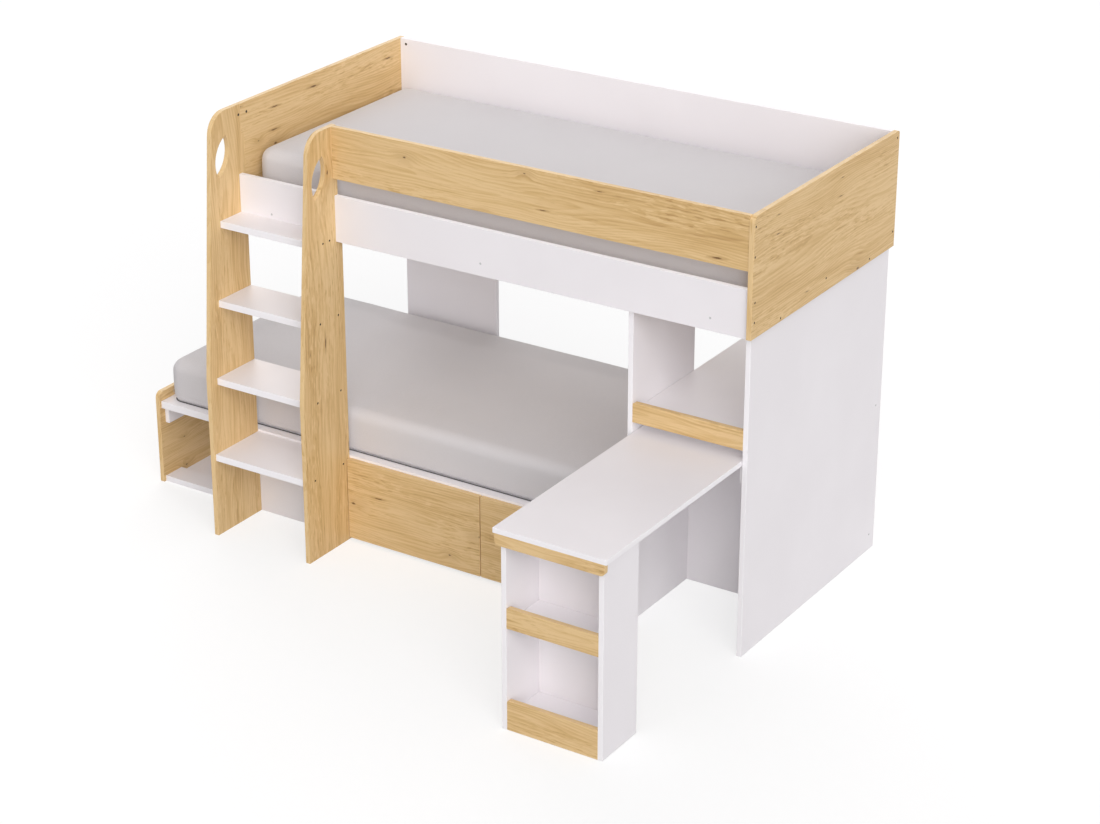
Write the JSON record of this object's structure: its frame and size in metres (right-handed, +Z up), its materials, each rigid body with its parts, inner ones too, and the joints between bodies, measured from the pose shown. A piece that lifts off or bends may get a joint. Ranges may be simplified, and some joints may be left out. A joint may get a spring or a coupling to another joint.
{
  "type": "bunk bed with desk",
  "caption": "Bunk bed with a side ladder, drawers and an open niche under the lower bed, and a shelf tower whose desk rolls out.",
  "frame": {"origin": "on the floor under the middle of the whole bed's box, with the desk pulled out", "axes": "+X to the right along the bed, +Y from its front to its back, +Z up"},
  "size_m": [2.515, 1.796, 1.565],
  "materials": {
    "oak_board": "oak decor, satin",
    "white_board": "white melamine, satin",
    "pine_board": "planed pine, bare",
    "mattress": "light grey woven cover over foam",
    "dark_steel": "blackened, as screw heads and cross dowels",
    "bright_steel": "zinc plated",
    "wheel_plastic": "dark hard plastic"
  },
  "bodies": {
    "bed": {"lower_left_end_panel": "oak_board", "lower_right_end_panel": "white_board", "lower_back_panel": "white_board", "niche_bottom": "white_board", "niche_front_rail": "white_board", "ladder_bay_dividers": "white_board", "centre_divider": "white_board", "ladder_bay_front_panel": "white_board", "deck_cleats": "white_board", "deck_boards": "white_board", "lower_mattress": "mattress", "right_side_panel": "white_board", "tower_panel": "white_board", "tower_rear_panel": "white_board", "bay_back_panel": "white_board", "desk_runners": "white_board", "tower_shelf": "white_board", "tower_shelf_lip": "oak_board", "rear_post_board": "white_board", "left_end_panel": "oak_board", "right_end_panel": "oak_board", "upper_back_panel": "white_board", "upper_side_rail": "white_board", "guard_rail": "oak_board", "slat_bearers": "pine_board", "upper_slats": "pine_board", "upper_mattress": "mattress", "ladder_left_stile": "oak_board", "ladder_right_stile": "oak_board", "ladder_step_1": "white_board", "ladder_step_2": "white_board", "ladder_step_3": "white_board", "ladder_step_4": "white_board", "board_screws": "dark_steel", "connecting_bolts": "dark_steel"},
    "desk": {"desk_top": "white_board", "desk_front_lip": "oak_board", "desk_leg_sides": "white_board", "desk_leg_back": "white_board", "desk_leg_shelf": "white_board", "desk_leg_floor": "white_board", "desk_shelf_lip": "oak_board", "desk_base_lip": "oak_board", "desk_castor_brackets": "bright_steel"},
    "desk_front_wheels": {"desk_front_wheels": "wheel_plastic"},
    "desk_rear_wheels": {"desk_rear_wheels": "wheel_plastic"},
    "left_drawer": {"left_drawer_front": "oak_board", "left_drawer_sides": "white_board", "left_drawer_back": "white_board", "left_drawer_bottom": "white_board", "left_drawer_castor_brackets": "bright_steel"},
    "left_drawer_front_wheels": {"left_drawer_front_wheels": "wheel_plastic"},
    "left_drawer_rear_wheels": {"left_drawer_rear_wheels": "wheel_plastic"},
    "right_drawer": {"right_drawer_front": "oak_board", "right_drawer_sides": "white_board", "right_drawer_back": "white_board", "right_drawer_bottom": "white_board", "right_drawer_castor_brackets": "bright_steel"},
    "right_drawer_front_wheels": {"right_drawer_front_wheels": "wheel_plastic"},
    "right_drawer_rear_wheels": {"right_drawer_rear_wheels": "wheel_plastic"}
  },
  "joints": [
    {"name": "desk_slide", "type": "slide", "parent": "bed", "child": "desk", "axis": [0, 1, 0], "range_m": [0, 0.79]},
    {"name": "desk_front_wheels_turn", "type": "hinge", "parent": "desk", "child": "desk_front_wheels", "pos_m": [0, -0.83, 0.013], "axis": [1, 0, 0], "continuous": true},
    {"name": "desk_rear_wheels_turn", "type": "hinge", "parent": "desk", "child": "desk_rear_wheels", "pos_m": [0, -0.727, 0.013], "axis": [1, 0, 0], "continuous": true},
    {"name": "left_drawer_slide", "type": "slide", "parent": "bed", "child": "left_drawer", "axis": [0, -1, 0], "range_m": [0, 0.6]},
    {"name": "left_drawer_front_wheels_turn", "type": "hinge", "parent": "left_drawer", "child": "left_drawer_front_wheels", "pos_m": [0, -0.003, 0.018], "axis": [1, 0, 0], "continuous": true},
    {"name": "left_drawer_rear_wheels_turn", "type": "hinge", "parent": "left_drawer", "child": "left_drawer_rear_wheels", "pos_m": [0, 0.565, 0.018], "axis": [1, 0, 0], "continuous": true},
    {"name": "right_drawer_slide", "type": "slide", "parent": "bed", "child": "right_drawer", "axis": [0, -1, 0], "range_m": [0, 0.6]},
    {"name": "right_drawer_front_wheels_turn", "type": "hinge", "parent": "right_drawer", "child": "right_drawer_front_wheels", "pos_m": [0, -0.003, 0.018], "axis": [1, 0, 0], "continuous": true},
    {"name": "right_drawer_rear_wheels_turn", "type": "hinge", "parent": "right_drawer", "child": "right_drawer_rear_wheels", "pos_m": [0, 0.565, 0.018], "axis": [1, 0, 0], "continuous": true}
  ],
  "couplings": [
    {"joint": "desk_front_wheels_turn", "follows": "desk_slide", "rad_per_m": -76.923},
    {"joint": "desk_rear_wheels_turn", "follows": "desk_slide", "rad_per_m": -76.923},
    {"joint": "left_drawer_front_wheels_turn", "follows": "left_drawer_slide", "rad_per_m": 55.556},
    {"joint": "left_drawer_rear_wheels_turn", "follows": "left_drawer_slide", "rad_per_m": 55.556},
    {"joint": "right_drawer_front_wheels_turn", "follows": "right_drawer_slide", "rad_per_m": 55.556},
    {"joint": "right_drawer_rear_wheels_turn", "follows": "right_drawer_slide", "rad_per_m": 55.556}
  ]
}
